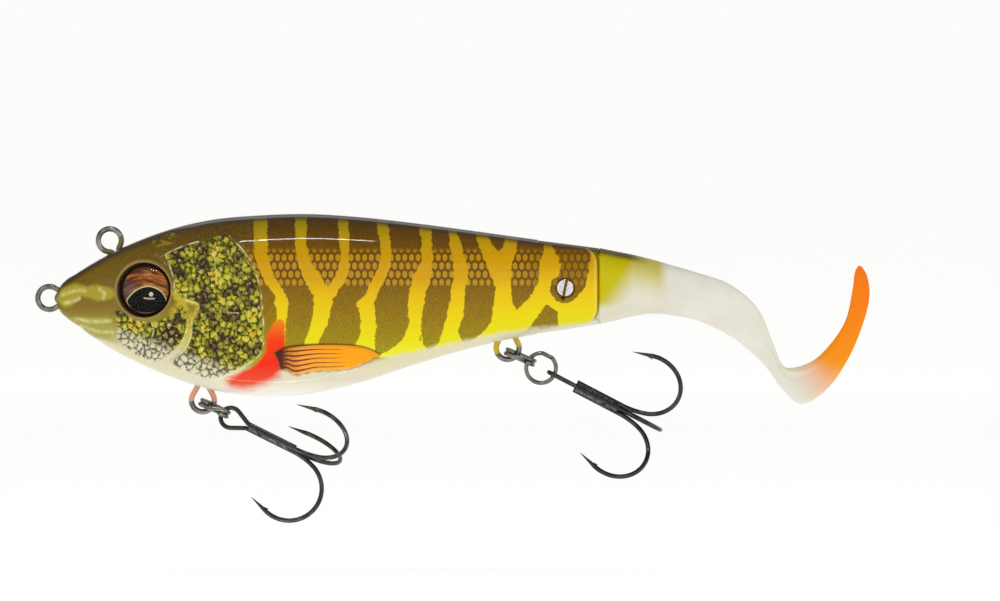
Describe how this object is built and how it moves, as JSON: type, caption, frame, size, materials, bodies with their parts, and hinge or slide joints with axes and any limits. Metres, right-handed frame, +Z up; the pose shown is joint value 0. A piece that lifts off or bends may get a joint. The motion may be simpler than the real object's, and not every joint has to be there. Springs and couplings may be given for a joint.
{
  "type": "swimbait",
  "caption": "Fishing swimbait with a hard two-shell body, wire line ties, treble hooks on split rings and a screw-locked soft curl tail.",
  "frame": {"origin": "centre of the nose line tie, on the lure's middle plane", "axes": "+X along the body to the tail, +Z up to the back, -Y to the lure's left side"},
  "size_m": [0.1794, 0.0277, 0.0663],
  "materials": {
    "painted_body": "gloss clear coat over paint",
    "bare_wire": "bright drawn steel wire",
    "eye_iris": "gloss metallic print",
    "eye_lens": "clear gloss dome",
    "ballast": "dull metal",
    "screw": "bright machined steel",
    "insert": "machined brass",
    "soft_tail": "soft translucent, gloss",
    "split_ring": "polished spring steel",
    "hook": "black nickel, gloss",
    "braze": "black nickel over braze, satin"
  },
  "bodies": {
    "root": {"left_body_shell": "painted_body", "right_body_shell": "painted_body", "nose_line_tie": "bare_wire", "top_line_tie": "bare_wire", "front_hook_hanger": "bare_wire", "rear_hook_hanger": "bare_wire", "left_eye_iris": "eye_iris", "left_eye_lens": "eye_lens", "right_eye_iris": "eye_iris", "right_eye_lens": "eye_lens", "front_ballast": "ballast", "middle_ballast": "ballast", "rear_ballast": "ballast", "tail_lock_insert": "insert", "tail_root": "soft_tail"},
    "tail": {"tail_blade": "soft_tail"},
    "tail_screw": {"tail_lock_screw": "screw"},
    "front_ring": {"front_split_ring": "split_ring"},
    "front_treble": {"front_treble_eye_hook": "hook", "front_treble_side_hooks": "hook", "front_treble_braze": "braze"},
    "rear_upper_ring": {"rear_upper_split_ring": "split_ring"},
    "rear_lower_ring": {"rear_lower_split_ring": "split_ring"},
    "rear_treble": {"rear_treble_eye_hook": "hook", "rear_treble_side_hooks": "hook", "rear_treble_braze": "braze"}
  },
  "joints": [
    {"name": "tail_swing", "type": "hinge", "parent": "root", "child": "tail", "pos_m": [0.125, 0, 0.0027], "axis": [0, 0, 1], "range_deg": [-45, 45], "stiffness_Nm_per_rad": 0.02},
    {"name": "tail_screw_withdraw", "type": "slide", "parent": "root", "child": "tail_screw", "axis": [0, -1, 0], "range_m": [0, 0.013]},
    {"name": "front_ring_swing", "type": "hinge", "parent": "root", "child": "front_ring", "pos_m": [0.033, 0, -0.022], "axis": [0, 1, 0], "range_deg": [-6, 120]},
    {"name": "front_treble_swing", "type": "hinge", "parent": "front_ring", "child": "front_treble", "pos_m": [0.0355, 0, -0.0237], "axis": [0.4384, 0, 0.8988], "range_deg": [-50, 50]},
    {"name": "rear_upper_ring_swing", "type": "hinge", "parent": "root", "child": "rear_upper_ring", "pos_m": [0.0985, 0, -0.01075], "axis": [0, 1, 0], "range_deg": [-4, 85]},
    {"name": "rear_lower_ring_swing", "type": "hinge", "parent": "rear_upper_ring", "child": "rear_lower_ring", "pos_m": [0.1012, 0, -0.0127], "axis": [0.3939, 0, 0.9191], "range_deg": [-45, 45]},
    {"name": "rear_treble_swing", "type": "hinge", "parent": "rear_lower_ring", "child": "rear_treble", "pos_m": [0.10568, 0, -0.01506], "axis": [0, 1, 0], "range_deg": [-15, 30]}
  ]
}
